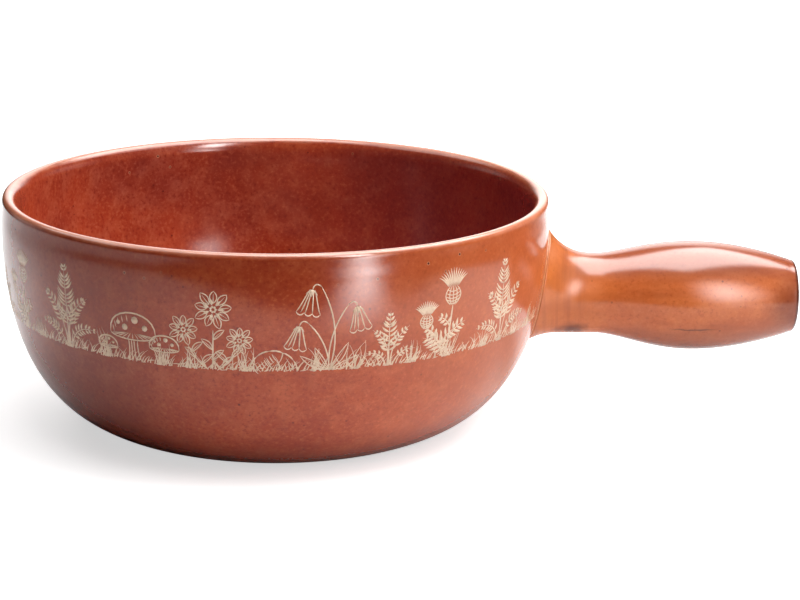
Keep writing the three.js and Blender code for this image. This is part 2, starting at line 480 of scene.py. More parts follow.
def make_handle_glaze():
    material, tree, shader, glaze = glazed_material(
        "orange_glaze", (202, 106, 54), (214, 122, 70), (174, 82, 40), (84, 36, 22),
    )
    place, along, side, height = object_place(tree)
    brushed = add_node(tree, "VectorMath", {0: place, 1: BRUSH_SCALE}, operation="MULTIPLY").outputs[0]
    below = uneven(height, place, 70, 2, 6 * MM)
    under_grip = mask(along, 130 * MM, 148 * MM)
    past_root = mask(along, 126 * MM, 142 * MM)
    past_flare = mask(along, 118 * MM, 134 * MM)
    nearing_end = uneven(along, place, 60, 2, 12 * MM)
    finish = paint(glaze.outputs["Colour"], (
        (mask(noise(brushed, 1, 3), 0.45, 0.72, 0.5), (158, 70, 34)),
        (mask(along, 152 * MM, 124 * MM, 0.5), (214, 122, 60)),
        (wipe_marks(tree, along, side, height), (158, 78, 36)),
        # Painted shade: darker under the grip, and darker still low down past the root.
        (times(mask(below, 49 * MM, 40 * MM, 0.5), under_grip), (104, 42, 24)),
        (times(mask(below, 41 * MM, 34 * MM, 0.6), past_root), (84, 36, 26)),
        # Painted shade along the top, which tones down the light under the highlight band.
        (times(mask(height, 60 * MM, 70 * MM, 0.6), past_flare), (122, 52, 38)),
        (blot(place, POOL_CENTRE, 12.5 * MM, 6 * MM, 0.85), (92, 38, 24)),
        (grip_crease(place, along, side, height), (92, 40, 26)),
        # Darker towards the end, with a dark blot near it and a dark band round the end's rim.
        (mask(nearing_end, HANDLE_END - 8 * MM, HANDLE_END + 8 * MM, 0.5), (132, 58, 36)),
        (blot(place, END_BLOT_CENTRE, 20 * MM, 8 * MM, 0.55), (98, 40, 28)),
        (mask(along, HANDLE_END - 1.8 * MM, HANDLE_END - 0.8 * MM, 0.85), (74, 34, 24)),
    ))
    tree.links.new(finish, shader.inputs["Base Color"])
    at_root = mask(along, 142 * MM, 120 * MM)
    satin = plus(glaze.outputs["Roughness"], GRIP_EXTRA_ROUGHNESS)
    rough = add_node(tree, "Mix", {0: at_root, 2: satin, 3: ROOT_ROUGHNESS}).outputs[0]
    tree.links.new(rough, shader.inputs["Roughness"])
    return material


handle_glaze = make_handle_glaze()
print(handle_glaze.name, "has", len(handle_glaze.node_tree.nodes), "nodes")

# %% [markdown]
# The slip in the seam and the enamel of the frieze take the shared glaze as it is, in their own colours.
# The enamel is cream, fired so thin that the brown below tints it here and there.

# %% Slip and enamel
slip_glaze = glazed_material(
    "slip_glaze", (206, 132, 88), (222, 160, 118), (170, 92, 56), (96, 46, 32),
)[0]
frieze_enamel = glazed_material(
    "frieze_enamel", (240, 210, 180), (246, 222, 196), (220, 182, 150), (190, 132, 100),
)[0]
print("finishes:", [m.name for m in (bowl_glaze, handle_glaze, slip_glaze, frieze_enamel)])

# %% [markdown]
# ## From bmesh to a piece
#
# Every piece ends the same way: its bmesh becomes a mesh object at the origin, it gets smooth shading
# and its finish, it rides on the pot's one body, and the CAD solid it replaces, if any, is hidden.

# %% Finish a piece
def finish_piece(bm, name, material, stands_for=None):
    mesh = bpy.data.meshes.new(name)
    bm.to_mesh(mesh)
    bm.free()
    mesh.shade_smooth()
    mesh.materials.append(material)
    piece = bpy.data.objects.new(name, mesh)
    bpy.context.scene.collection.objects.link(piece)
    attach(piece, "root")
    if stands_for:
        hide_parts(stands_for)
    print(name, "has", len(mesh.polygons), "faces")
    return piece


# %% [markdown]
# ## The bowl
#
# A bowl is turned on a wheel, and Spin does the same: half a section, once round the axis. The section
# starts at the middle of the base, goes round the foot, up the outside, over the lip, down the inside
# and back to the middle of the floor. The doubled points on the axis are merged before the normals are
# recalculated. A float layer marks the inside, rising over the inner half of the lip, so that the glaze
# can be deeper there, with painted shade and a painted veil.

# %% Bowl
SPIN_STEPS = 224
FOOT_STEPS = 3
LIP_OUTER_STEPS = 10
LIP_STEPS = 14
MERGE_DISTANCE = 0.005 * MM


def arc(centre, wide, tall, start, stop, steps):
    """Points of a round or oval arc in the section's plane, angles in degrees."""
    turns = [math.radians(start + (stop - start) * i / steps) for i in range(steps + 1)]
    return [centre + section_point(wide * math.cos(a), tall * math.sin(a)) for a in turns]


def make_bowl():
    foot_centre = section_point(FOOT_RADIUS - FOOT_ROUND * math.tan(FOOT_RISE / 2), FOOT_ROUND)
    outer_lip = section_point(LIP_RADIUS - LIP_OUTER_ROUND, POT_HEIGHT - LIP_OUTER_ROUND)
    inner_lip = section_point(LIP_RADIUS - LIP_THICKNESS + LIP_INNER_WIDTH, POT_HEIGHT - LIP_INNER_DROP)
    section = [section_point(0, 0), section_point(FOOT_RADIUS / 2, 0)]
    section += arc(foot_centre, FOOT_ROUND, FOOT_ROUND, -90, math.degrees(FOOT_RISE) - 90, FOOT_STEPS)
    section += outer_wall[2:]
    section += arc(outer_lip, LIP_OUTER_ROUND, LIP_OUTER_ROUND, 0, 90, LIP_OUTER_STEPS)[1:]
    section += arc(inner_lip, LIP_INNER_WIDTH, LIP_INNER_DROP, 90, 180, LIP_STEPS)
    section += inner_wall[-2::-1]
    section += [section_point(FLOOR_RADIUS / 2, FLOOR_HEIGHT), section_point(0, FLOOR_HEIGHT)]

    bm = bmesh.new()
    inside = bm.verts.layers.float.new("inside")
    verts = [bm.verts.new(p) for p in section]
    wall_start = len(verts) - len(inner_wall) - 1
    for step, vert in enumerate(verts[wall_start - LIP_STEPS:]):
        vert[inside] = min(step / LIP_STEPS, 1.0)
    edges = [bm.edges.new(pair) for pair in zip(verts, verts[1:])]
    bmesh.ops.spin(
        bm, geom=verts + edges, cent=(0, 0, 0), axis=(0, 0, 1), angle=math.tau,
        steps=SPIN_STEPS, use_merge=True,
    )
    bmesh.ops.remove_doubles(bm, verts=bm.verts, dist=MERGE_DISTANCE)
    bmesh.ops.recalc_face_normals(bm, faces=bm.faces)
    return finish_piece(bm, "glazed_bowl", bowl_glaze, "bowl")


bowl = make_bowl()

# %% [markdown]
# ## The handle
#
# The handle is cast hollow and its root is cut to fit the round wall, so it isn't a plain turned shape:
# its first rings are saddles. It is made by extruding a ring of edges again and again and giving each
# new ring its place. Every vertex remembers its angle round the handle in a float layer, which the
# extrusion copies, so a ring needs only a rule from angle to place.

# %% Handle rings
HANDLE_SEGMENTS = 128
HANDLE_AXIS = POT_HEIGHT - 45 * MM
HANDLE_WALL = 5 * MM
NECK_RADIUS = 17.2 * MM
NECK_RISE = 0.8 * MM
GRIP_RADIUS = 23.2 * MM
GRIP_MIDDLE = HANDLE_END - 44 * MM
END_RADIUS = 14.8 * MM
END_ROUND = 1.8 * MM
FLARE_RADIUS = 22 * MM
FLARE_SPAN_TOP = math.radians(60)
FLARE_SPAN_UNDER = math.radians(30)
SEAM = 0.5 * MM
NECK_LEAD = 2.6 * MM
NECK_START = BELLY_RADIUS + SEAM + FLARE_RADIUS * math.sin(FLARE_SPAN_TOP) + NECK_LEAD
SWELL_EASE = 0.75
TAPER_EASE = 0.88


def blend(low, high, share):
    """Goes smoothly from low to high as the share goes from 0 to 1."""
    share = min(max(share, 0), 1)
    return low + (high - low) * share * share * (3 - 2 * share)


def handle_radius(x):
    if x < GRIP_MIDDLE:
        share = min(max((x - NECK_START) / (GRIP_MIDDLE - NECK_START), 0), 1)
        swell = (1 - math.cos(math.pi * share ** SWELL_EASE)) / 2
        return NECK_RADIUS + (GRIP_RADIUS - NECK_RADIUS) * swell
    share = (x - GRIP_MIDDLE) / (HANDLE_END - GRIP_MIDDLE)
    return END_RADIUS + (GRIP_RADIUS - END_RADIUS) * math.cos(math.pi / 2 * share) ** TAPER_EASE


def flat_ring(x, radius):
    """A rule for a ring that is square to the handle's axis."""
    centre = HANDLE_AXIS + blend(NECK_RISE, 0, (x - NECK_START) / (GRIP_MIDDLE - NECK_START))
    return lambda turn: Vector((x, radius * math.cos(turn), centre + radius * math.sin(turn)))


def wall_ring(radius_at, stand_off_at):
    """A rule for a ring that keeps a distance from the bowl's wall."""
    def place(turn):
        y = radius_at(turn) * math.cos(turn)
        z = HANDLE_AXIS + NECK_RISE + radius_at(turn) * math.sin(turn)
        wall = math.sqrt(wall_radius(z) ** 2 - y ** 2)
        return Vector((wall + stand_off_at(turn), y, z))
    return place


def extrude_rings(rules):
    """Extrudes a ring of edges through all the rules, then joins the last ring to the first."""
    bm = bmesh.new()
    turn = bm.verts.layers.float.new("turn")
    verts = bmesh.ops.create_circle(bm, segments=HANDLE_SEGMENTS, radius=NECK_RADIUS)["verts"]
    for step, vert in enumerate(verts):
        vert[turn] = math.tau * step / HANDLE_SEGMENTS
        vert.co = rules[0](vert[turn])
    first = edges = bm.edges[:]
    for rule in rules[1:]:
        made = bmesh.ops.extrude_edge_only(bm, edges=edges)["geom"]
        edges = [part for part in made if isinstance(part, bmesh.types.BMEdge)]
        for vert in (part for part in made if isinstance(part, bmesh.types.BMVert)):
            vert.co = rule(vert[turn])
    bmesh.ops.bridge_loops(bm, edges=first + edges)
    bmesh.ops.recalc_face_normals(bm, faces=bm.faces)
    return bm


print("neck start and handle end in mm:", [round(x / MM, 1) for x in (NECK_START, HANDLE_END)])

# %% [markdown]
# Now the rings themselves: a fillet that opens from the neck to the wall, wider above than below, then
# the grip that swells to fit a hand, the rounded open end, and the bore back to the root.

# %% Handle
FLARE_STEPS = 16
GRIP_STEPS = 48
END_STEPS = 6


def flare_span(turn):
    """How far the fillet turns: most above the neck, least below it."""
    return FLARE_SPAN_UNDER + (FLARE_SPAN_TOP - FLARE_SPAN_UNDER) * (1 + math.sin(turn)) / 2


def flare_radius(turn, share=1.0):
    """The fillet's radius round the handle's axis, at a share of its way from the neck to the wall."""
    return NECK_RADIUS + FLARE_RADIUS * (1 - math.cos(flare_span(turn) * share))


def flare_stand_off(turn, share):
    return SEAM + FLARE_RADIUS * (math.sin(flare_span(turn)) - math.sin(flare_span(turn) * share))


def flare_rule(share):
    return wall_ring(lambda turn: flare_radius(turn, share), lambda turn: flare_stand_off(turn, share))


def end_rules(start):
    """The rounded rim of the open end, from the outside over into the bore."""
    outer = handle_radius(start) - END_ROUND
    inner = handle_radius(start) - HANDLE_WALL + END_ROUND
    turns = [math.pi / 2 * step / END_STEPS for step in range(END_STEPS + 1)]
    over = [flat_ring(start + END_ROUND * math.sin(a), outer + END_ROUND * math.cos(a)) for a in turns[1:]]
    into = [flat_ring(start + END_ROUND * math.cos(a), inner - END_ROUND * math.sin(a)) for a in turns[:-1]]
    return over + into


def make_handle():
    last = HANDLE_END - END_ROUND
    stations = [NECK_START + (last - NECK_START) * step / GRIP_STEPS for step in range(GRIP_STEPS + 1)]
    outside = [flat_ring(x, handle_radius(x)) for x in stations]
    bore = [flat_ring(x, handle_radius(x) - HANDLE_WALL) for x in reversed(stations)]
    root = wall_ring(lambda turn: NECK_RADIUS - HANDLE_WALL, lambda turn: SEAM)
    flare = [flare_rule(1 - step / FLARE_STEPS) for step in range(FLARE_STEPS + 1)]
    bm = extrude_rings(flare + outside + end_rules(last) + bore + [root])
    return finish_piece(bm, "glazed_handle", handle_glaze, "handle")


handle = make_handle()

# %% [markdown]
# ## The luted seam
#
# Handle and bowl are joined with slip, wet clay that is pressed out of the joint and wiped round. What
# shows is a fine bead along the flare's rim, where the glaze runs thin and pale. It is a ring like the
# others, with a small round section.

# %% Luted seam
BEAD_RADIUS = 0.55 * MM
BEAD_SIDES = 10


def bead_rule(angle):
    out, off = BEAD_RADIUS * math.cos(angle), BEAD_RADIUS * math.sin(angle)
    return wall_ring(lambda turn: flare_radius(turn) + out, lambda turn: off)


def make_seam():
    rules = [bead_rule(math.tau * side / BEAD_SIDES) for side in range(BEAD_SIDES)]
    return finish_piece(extrude_rings(rules), "luted_seam", slip_glaze, "luting_slip")


seam = make_seam()

# %% [markdown]
# ## The frieze: a pen on a flat sheet
#
# The pot carries a printed band of cream line work. A print can be a texture, but drawn as a mesh it
# stays sharp at any distance. The drawing is made flat, in millimetres, as a transfer sheet is: x runs
# along the band and y up from the ground line. One pen does it all: a narrow grid is laid along a bowed
# line and its width follows a rule, so the same pen gives a stem, a blade of grass or a leaf.

# %% Pen
PEN = 0.46
FINEST = 0.07


def bowed(start, stop, bow=0.0, steps=6):
    """A line from start to stop that bows to its left by a share of its length."""
    start, stop = Vector(start), Vector(stop)
    along = stop - start
    left = Vector((-along.y, along.x))
    shares = [step / steps for step in range(steps + 1)]
    return [start + along * t + left * (4 * bow * t * (1 - t)) for t in shares]


def lay(sheet, path, width_at):
    """Lays one stroke along a path. A rule gives its width at each share of the way."""
    count = len(path)
    verts = bmesh.ops.create_grid(sheet, x_segments=count - 1, y_segments=1, size=1.0)["verts"]
    for step, centre in enumerate(path):
        ahead = path[min(step + 1, count - 1)] - path[max(step - 1, 0)]
        width = max(FINEST, width_at(step / (count - 1)))
        across = Vector((-ahead.y, ahead.x)).normalized() * (width / 2)
        verts[step].co = (centre - across).to_3d()
        verts[step + count].co = (centre + across).to_3d()


def trace(sheet, path, pens=1.0):
    """A steady line, so many pens wide, that thins only at its ends."""
    lay(sheet, path, lambda share: PEN * pens * min(1, 6 * share + 0.3, 6 * (1 - share) + 0.3))


def flick(sheet, path, pens):
    """A stroke that is widest at the root and drawn out to a point."""
    lay(sheet, path, lambda share: PEN * pens * (1 - share) ** 0.7)


def petal(sheet, path, width):
    """A stroke that is pointed at both ends and fullest before the middle."""
    lay(sheet, path, lambda share: width * math.sin(math.pi * share ** 0.85))


def dot(sheet, centre, radius):
    place = Matrix.Translation(Vector(centre).to_3d())
    bmesh.ops.create_circle(sheet, cap_ends=True, segments=8, radius=radius, matrix=place)


def heading(angle):
    """A unit step in a direction, in degrees from the right, anticlockwise."""
    return Vector((math.cos(math.radians(angle)), math.sin(math.radians(angle))))


print("the pen is", PEN, "mm wide")

# %% [markdown]
# ## The frieze: plants
#
# The band shows what grows on a mountain meadow: ferns, edelweiss, bellflowers, thistles, mushrooms,
# grass and stones. Each is a short function that draws with the pen on a sheet of its own, in the
# manner of an engraving: outlines, veins and hatching, with the brown glaze showing between them.

# %% Ferns, grass and stones
def frond(sheet, base, tip, bow, leaflet, pitch=1.9, bare=0.0):
    """A spine, bare at first, with pairs of leaflets that grow and then shrink towards the tip."""
    spine = bowed(base, tip, bow, 24)
    flick(sheet, spine[::3], 1.5)
    pairs = int((Vector(tip) - Vector(base)).length * (1 - bare) / pitch)
    for pair in range(1, pairs + 1):
        share = bare + (1 - bare) * pair / (pairs + 1)
        step = min(round(share * 24), 23)
        ahead = spine[step + 1] - spine[step]
        angle = math.degrees(math.atan2(ahead.y, ahead.x))
        reach = leaflet * math.sin(math.pi * (0.1 + 0.88 * share)) ** 0.8
        for side in (1, -1):
            out = heading(angle + side * (70 - 28 * share)) * reach
            path = bowed(spine[step], spine[step] + out, side * 0.1, 4)
            petal(sheet, path, 0.35 + pitch * 0.34)


def fern(sheet, height, dice):
    top = (dice.uniform(-1, 1), height)
    frond(sheet, (0, 0), top, dice.uniform(-0.05, 0.05), height * 0.19, bare=0.22)
    for side in (1, -1):
        far = (side * height * dice.uniform(0.34, 0.42), height * dice.uniform(0.62, 0.72))
        frond(sheet, (side * 0.8, 0), far, side * 0.16, height * 0.13, bare=0.36)
        low = (side * height * dice.uniform(0.46, 0.54), height * dice.uniform(0.24, 0.32))
        frond(sheet, (side * 1.4, 0), low, side * 0.22, height * 0.09, bare=0.2)


def grass(sheet, height, dice):
    for _ in range(9):
        root = dice.uniform(-2.4, 2.4)
        reach = height * dice.uniform(0.45, 1)
        tip = (root + dice.uniform(-0.4, 0.5) * reach, reach)
        flick(sheet, bowed((root, 0), tip, dice.uniform(-0.16, 0.16)), 1.4)


def stone(sheet, height, dice):
    """A boulder: an uneven outline, a crack, and hatching on its shaded side."""
    width = height * dice.uniform(2.1, 2.5)
    corners = [(-0.5, 0), (-0.42, 0.55), (-0.2, 0.92), (0.08, 1), (0.33, 0.74), (0.5, 0)]
    points = [Vector((x * width, y * height)) for x, y in corners]
    for start, stop in zip(points, points[1:]):
        trace(sheet, bowed(start, stop, 0.09, 4), 1.3)
    flick(sheet, bowed(points[2], (-0.06 * width, 0.3 * height), -0.1), 1.2)
    for row in range(8):
        top = Vector((width * (0.02 + row * 0.055), height * (0.86 - row * 0.09)))
        trace(sheet, bowed(top, top - Vector((width * 0.1, height * 0.34)), 0.06, 3), 0.9)
    for row in range(5):
        low = Vector((width * (-0.42 + row * 0.07), height * 0.06))
        rise = Vector((width * 0.03, height * (0.4 - row * 0.05)))
        trace(sheet, bowed(low, low + rise, 0, 3), 0.9)


print("fern, grass and stone are ready")

# %% [markdown]
# Leaves and petals are outlines of two bowed lines that meet at the tip, with a vein between them.
# Everything else that flowers is put together from them.

# %% Leaves and flowers
def leaf(sheet, base, angle, length, width, bow=0.0):
    base = Vector(base)
    tip = base + heading(angle) * length
    for side in (1, -1):
        trace(sheet, bowed(base, tip, bow + side * width / length / 2), 0.9)
    flick(sheet, bowed(base, base.lerp(tip, 0.8), bow * 0.8, 4), 0.9)


def edelweiss_bloom(sheet, centre, size):
    for index in range(9):
        angle = 360 * index / 9 + 8
        length = size * (0.62 + 0.1 * (index % 2))
        leaf(sheet, centre + heading(angle) * size * 0.3, angle, length, size * 0.36)
    for index in range(7):
        angle = 360 * index / 7
        start = centre + heading(angle) * size * 0.22
        petal(sheet, bowed(start, start + heading(angle) * size * 0.34, 0, 4), size * 0.15)
        dot(sheet, centre + heading(angle) * size * 0.13, size * 0.06)


def edelweiss(sheet, height, dice):
    for lean, share, size in ((0.02, 0.78, 0.25), (-0.34, 0.5, 0.2), (0.36, 0.4, 0.18)):
        top = Vector((height * lean + dice.uniform(-0.5, 0.5), height * share))
        stem = bowed((lean * 5, 0), top, lean * -0.3, 12)
        trace(sheet, stem[:9], 1.3)
        for side, step in ((-1, 2), (1, 4), (-1, 6)):
            leaf(sheet, stem[step], 90 + side * 46, height * 0.2, 1.9, side * -0.08)
        edelweiss_bloom(sheet, top, height * size)


def bell(sheet, top, size, lean):
    """A hanging bell: ribs that spread from the cap to a scalloped mouth."""
    down = heading(lean - 90)
    across = Vector((-down.y, down.x))

    def rib(share):
        shares = [step / 6 for step in range(7)]
        spread = [0.1 + 0.25 * math.sin(1.6 * t) + 0.15 * t ** 4 for t in shares]
        return [top + (down * t + across * (share * wide)) * size for t, wide in zip(shares, spread)]

    for share in (-1, -0.35, 0.25, 0.62, 1):
        trace(sheet, rib(share))
    mouth = [rib(share)[-1] for share in (-1, -0.33, 0.33, 1)]
    for start, stop in zip(mouth, mouth[1:]):
        trace(sheet, bowed(start, stop, -0.35, 4))
    for flap in (-50, 0, 50):
        petal(sheet, bowed(top, top + heading(lean - 90 + flap) * size * 0.32, 0, 3), PEN * 1.8)


def bellflower(sheet, height, dice):
    for angle in (28, 58, 124, 155):
        leaf(sheet, (0, 0.4), angle, height * dice.uniform(0.3, 0.38), 2.3, 0.05 if angle > 90 else -0.05)
    for side, share, reach in ((1, 0.97, 0.1), (-1, 0.76, 0.2), (1, 0.56, 0.24)):
        crown = Vector((side * height * reach, height * share))
        trace(sheet, bowed((0, 0), crown, side * 0.1, 12), 1.2)
        hang = crown + Vector((side * height * 0.1, -height * 0.03))
        trace(sheet, bowed(crown, hang, side * 0.4), 1.1)
        bell(sheet, hang, height * dice.uniform(0.25, 0.28), side * 10)


print("leaves and flowers are ready")

# %% [markdown]
# A thistle's head and a mushroom's cap are round bodies, so they are drawn as ribs, gills and hatching
# that follow the roundness.

# %% Thistles and mushrooms
CAP_SPOTS = ((-0.5, 0.14, 0.06), (-0.12, 0.28, 0.075), (0.3, 0.12, 0.065), (0.56, 0.2, 0.045))


def thistle_head(sheet, base, size):
    """A scaly bulb under a crown of bristles."""
    shares = [step / 6 for step in range(7)]
    swell = [0.5 * math.sin(math.pi * (0.1 + 0.76 * t)) for t in shares]
    for share in (-1, -0.5, 0, 0.5, 1):
        path = [base + Vector((share * wide, t)) * size for t, wide in zip(shares, swell)]
        trace(sheet, path)
    for t, wide in list(zip(shares, swell))[1:6]:
        left, right = (base + Vector((side * wide, t)) * size for side in (-1, 1))
        trace(sheet, bowed(left, right, -0.16), 0.9)
    for bristle in range(-6, 7):
        start = base + Vector((bristle * 0.055, 0.98)) * size
        tip = start + heading(90 - bristle * 8) * size * (1.0 - 0.03 * abs(bristle))
        petal(sheet, bowed(start, tip, bristle * 0.015, 4), PEN * 1.5)


def thistle(sheet, height, dice):
    for lean, share, size in ((0.04, 0.58, 0.21), (-0.3, 0.36, 0.16)):
        top = Vector((height * lean, height * share))
        stem = bowed((lean * 4, 0), top, lean * 0.3, 12)
        trace(sheet, stem, 1.6)
        thistle_head(sheet, top, height * size)
        for side, step, length in ((-1, 1, 0.36), (1, 4, 0.29), (-1, 7, 0.22)):
            reach = height * length
            tip = stem[step] + heading(90 - side * 52) * reach
            frond(sheet, stem[step], tip, side * 0.12, reach * 0.36, pitch=2.6)


def mushroom(sheet, height, dice):
    """Three caps with pale spots, gills under the brim and hatched stems."""
    turns = [math.pi * step / 12 for step in range(13)]
    for offset, share in ((0, 1.0), (-0.66, 0.62), (0.6, 0.46)):
        tall = height * share
        foot = Vector((offset * height, 0))
        brim = foot + Vector((0, tall * 0.56))
        span = tall * 0.5
        dome = [brim + Vector((-span * math.cos(a), tall * 0.42 * math.sin(a) ** 0.8)) for a in turns]
        under = [brim + Vector((-span * math.cos(a), -tall * 0.12 * math.sin(a))) for a in turns]
        trace(sheet, dome, 1.4)
        trace(sheet, under, 1.1)
        for gill in range(1, 12):
            inner = brim + Vector(((under[gill].x - brim.x) * 0.35, 0.2))
            trace(sheet, bowed(inner, under[gill], 0, 3), 0.7)
        for side in (-1, -0.2, 0.4, 1):
            root = foot + Vector((side * tall * 0.15, 0))
            top = brim + Vector((side * tall * 0.1, -tall * 0.1))
            trace(sheet, bowed(root, top, side * 0.06))
        for across, up, size in CAP_SPOTS:
            dot(sheet, brim + Vector((across * span * 1.1, up * tall)), size * tall)
        for start in (point.lerp(brim, 0.1) for point in dome[7:12]):
            stop = start - Vector((span * 0.04, tall * 0.13))
            trace(sheet, bowed(start, stop, 0, 3), 0.8)


print("thistles and mushrooms are ready")

# %% [markdown]
# ## The frieze: laying the sheet on the wall
#
# Each plant is drawn on its own small sheet, because bmesh operators are quick on small meshes. The
# sheet gets the thickness of a fired print, is shifted to its place along the band, and is wrapped:
# x becomes an angle round the pot, and the point is set on the wall at its height. The band stops
# short of the handle on both sides.

# %% Wrap sheets round the pot
BAND_BOTTOM = 50.5 * MM
PRINT_THICKNESS = 0.03
PRINT_LIFT = 0.02 * MM
CLEAR_OF_HANDLE = math.radians(17)
BAND_LENGTH = (math.tau - 2 * CLEAR_OF_HANDLE) * BELLY_RADIUS / MM


def wrap(point):
    """Sets a point of the flat sheet, in mm, on the wall."""
    turn = CLEAR_OF_HANDLE + point.x * MM / BELLY_RADIUS
    height = BAND_BOTTOM + point.y * MM
    radius = wall_radius(height) + PRINT_LIFT + point.z * MM
    return Vector((radius * math.cos(turn), radius * math.sin(turn), height))


def print_sheet(band, sheet, along, flip=False):
    """Adds a drawn sheet to the band's mesh at a distance along it."""
    shift = Matrix.Translation((along, 0, 0))
    if flip:
        shift = shift @ Matrix.Scale(-1, 4, (1, 0, 0))
    bmesh.ops.transform(sheet, matrix=shift, verts=sheet.verts)
    bmesh.ops.recalc_face_normals(sheet, faces=sheet.faces)
    bmesh.ops.solidify(sheet, geom=sheet.faces[:], thickness=PRINT_THICKNESS)
    for vert in sheet.verts:
        vert.co = wrap(vert.co)
    bmesh.ops.recalc_face_normals(sheet, faces=sheet.faces)
    scrap = bpy.data.meshes.new("scrap")
    sheet.to_mesh(scrap)
    band.from_mesh(scrap)
    bpy.data.meshes.remove(scrap)
    sheet.free()


print("the band is", round(BAND_LENGTH), "mm long")

# %% [markdown]
# The plants follow each other in a set order with small changes of height, so the band reads as a
# repeat drawn by hand. Tall, middle and low plants take turns. The ground is a strip of slanted blades
# and short hatching, with tufts of grass, that ties the band together.

# %% Frieze
# Each plant with its height and half the room that it takes along the band, in mm.
PLANTS = (
    (fern, 36, 19), (mushroom, 20, 19), (edelweiss, 32, 17), (stone, 8.5, 9),
    (bellflower, 35, 15), (fern, 22, 12), (thistle, 36, 17),
)
ROOM_USED = 0.92
STRETCHES = 16
BLADES = 30
CROSSING_BLADES = 9
DASHES = 20
TUFTS = 2


def make_plants():
    dice = random.Random(11)
    band = bmesh.new()
    along = PLANTS[0][2]
    index = 0
    while along < BAND_LENGTH - PLANTS[index % len(PLANTS)][2]:
        draw, height, room = PLANTS[index % len(PLANTS)]
        sheet = bmesh.new()
        draw(sheet, height * dice.uniform(0.94, 1.03), dice)
        print_sheet(band, sheet, along, flip=dice.random() < 0.5)
        index += 1
        along += (room + PLANTS[index % len(PLANTS)][2]) * ROOM_USED
    return finish_piece(band, "frieze_plants", frieze_enamel)


def make_ground():
    dice = random.Random(23)
    band = bmesh.new()
    stretch = BAND_LENGTH / STRETCHES
    for piece in range(STRETCHES):
        sheet = bmesh.new()
        for blade in range(BLADES):
            root = Vector((stretch * (blade + dice.random()) / BLADES, dice.uniform(0, 0.8)))
            reach = dice.uniform(2.4, 5.0)
            tip = root + Vector((dice.uniform(0.35, 1.0) * reach, reach))
            flick(sheet, bowed(root, tip, dice.uniform(0, 0.14), 4), 1.1)
        for _ in range(CROSSING_BLADES):
            root = Vector((stretch * dice.random(), dice.uniform(0, 1.5)))
            reach = dice.uniform(3.0, 6.5)
            tip = root + Vector((dice.uniform(-0.8, 0.1) * reach, reach))
            flick(sheet, bowed(root, tip, dice.uniform(-0.14, 0.05), 4), 1.1)
        for dash in range(DASHES):
            left = Vector((stretch * (dash + dice.random()) / DASHES, dice.uniform(0, 1.4)))
            right = left + heading(dice.uniform(5, 35)) * dice.uniform(1.4, 3.0)
            trace(sheet, bowed(left, right, dice.uniform(-0.1, 0.1), 3), 0.7)
        print_sheet(band, sheet, piece * stretch)
        for tuft in range(TUFTS):
            clump = bmesh.new()
            grass(clump, dice.uniform(7, 13), dice)
            print_sheet(band, clump, stretch * (piece + (tuft + dice.uniform(0.2, 0.8)) / TUFTS))
    return finish_piece(band, "frieze_ground", frieze_enamel)


plants = make_plants()
ground = make_ground()

# %% [markdown]
# ## The studio
#
# The floor is plain and pale, endless to the camera. But a glossy glaze shows the whole room, and in
# the photograph it shows a white table with darkness beyond it: the table veils the lower wall, and its
# front edge ends the veil. So away from the camera the floor is white on the table only.
#
# The lamps are of two sorts. Those that light the pot stay out of its reflections, and those that it
# reflects light nothing. This way shade and gloss can be set one at a time: the key stands to the
# right, so the left of the pot and the right of its inside lie in shade.

# %% Floor and world
TABLE_SIDES = {"X": (-680 * MM, 400 * MM), "Y": (-310 * MM, 600 * MM)}
TABLE_EDGE = 40 * MM
TABLE_TURN = math.radians(-18)
HALF_FLOOR = 3.0
WHITE = (0.85, 0.85, 0.85, 1)
DARK = (0.04, 0.04, 0.04, 1)
FLOOR_GLOW = 0.6


def make_floor():
    bm = bmesh.new()
    bmesh.ops.create_grid(bm, x_segments=1, y_segments=1, size=HALF_FLOOR)
    mesh = bpy.data.meshes.new("floor")
    bm.to_mesh(mesh)
    bm.free()
    paper = bpy.data.materials.new("paper")
    paper.use_nodes = True
    tree = paper.node_tree
    shader = tree.nodes["Principled BSDF"]
    shader.inputs["Roughness"].default_value = 0.9
    shader.inputs["Specular IOR Level"].default_value = 0.0
    seen = add_node(tree, "LightPath").outputs["Is Camera Ray"]
    turned = add_node(tree, "VectorRotate", {
        "Vector": add_node(tree, "TexCoord").outputs["Object"], "Angle": TABLE_TURN,
    }, rotation_type="Z_AXIS").outputs["Vector"]
    place = add_node(tree, "SeparateXYZ", {0: turned})
    on_table = 1.0
    for axis, (low, high) in TABLE_SIDES.items():
        past_low = mask(place.outputs[axis], low - TABLE_EDGE, low + TABLE_EDGE)
        before_high = mask(place.outputs[axis], high + TABLE_EDGE, high - TABLE_EDGE)
        on_table = times(past_low, before_high, on_table)
    tint = mix_colour(math_node("MAXIMUM", seen, on_table), DARK, WHITE)
    tree.links.new(tint, shader.inputs["Base Color"])
    shader.inputs["Emission Color"].default_value = (1, 1, 1, 1)
    tree.links.new(times(seen, FLOOR_GLOW), shader.inputs["Emission Strength"])
    mesh.materials.append(paper)
    floor = bpy.data.objects.new("floor", mesh)
    bpy.context.scene.collection.objects.link(floor)


def make_world(at_horizon, above):
    """A world that shows in reflections only: palest at the horizon, where a white sweep would rise."""
    world = bpy.data.worlds.new("studio")
    world.use_nodes = True
    tree = world.node_tree
    way = add_node(tree, "TexCoord").outputs["Generated"]
    rise = add_node(tree, "SeparateXYZ", {0: way}).outputs["Z"]
    levels = {"Value": rise, "From Max": 0.4, "To Min": at_horizon, "To Max": above}
    fade = add_node(tree, "MapRange", levels, interpolation_type="SMOOTHSTEP").outputs["Result"]
    tree.links.new(fade, tree.nodes["Background"].inputs["Strength"])
    world.cycles_visibility.diffuse = False
    bpy.context.scene.world = world


make_floor()
make_world(at_horizon=0.4, above=0.1)
bpy.context.scene.view_settings.view_transform = "Standard"
print("floor and world are ready")

